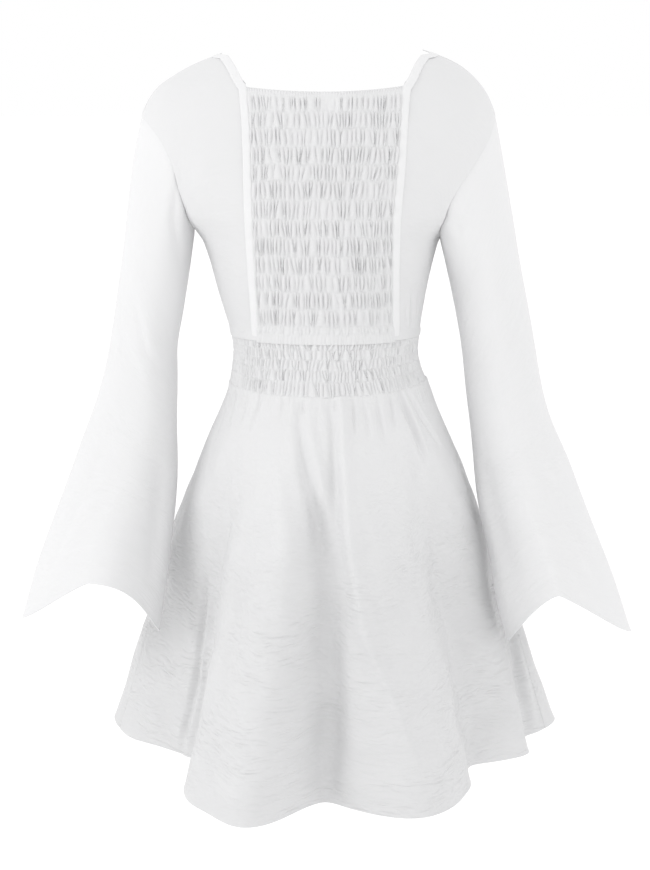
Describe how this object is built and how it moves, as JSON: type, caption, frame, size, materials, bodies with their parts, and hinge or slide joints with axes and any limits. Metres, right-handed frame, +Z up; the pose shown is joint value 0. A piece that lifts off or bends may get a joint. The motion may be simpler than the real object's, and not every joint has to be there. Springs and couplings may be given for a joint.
{
  "type": "peasant dress",
  "caption": "Short white peasant dress, filled out as if worn: smocked back panel, square back neck, shirred waistband, gathered skirt and long bell sleeves with arched hems.",
  "frame": {"origin": "midway between the two shoulder seams at their neck ends, where the wearer's shoulders hold the dress", "axes": "+Z up along the dress, +X to the wearer's right side, +Y towards the front of the dress, -Y the back that the picture shows"},
  "size_m": [0.7453, 0.515, 0.8694],
  "materials": {
    "crepe": "matte, finely crinkled weave",
    "smocked_crepe": "matte, gathered on elastic",
    "binding": "matte, flat and pressed"
  },
  "bodies": {
    "root": {"back_smocked_panel": "smocked_crepe", "back_side_left": "crepe", "back_side_right": "crepe", "neck_binding_left": "binding", "neck_binding_right": "binding", "bodice_front": "crepe", "waistband_back": "smocked_crepe", "waistband_front": "crepe", "skirt_back": "crepe", "skirt_front": "crepe", "sleeve_left": "crepe", "sleeve_right": "crepe"}
  },
  "joints": []
}
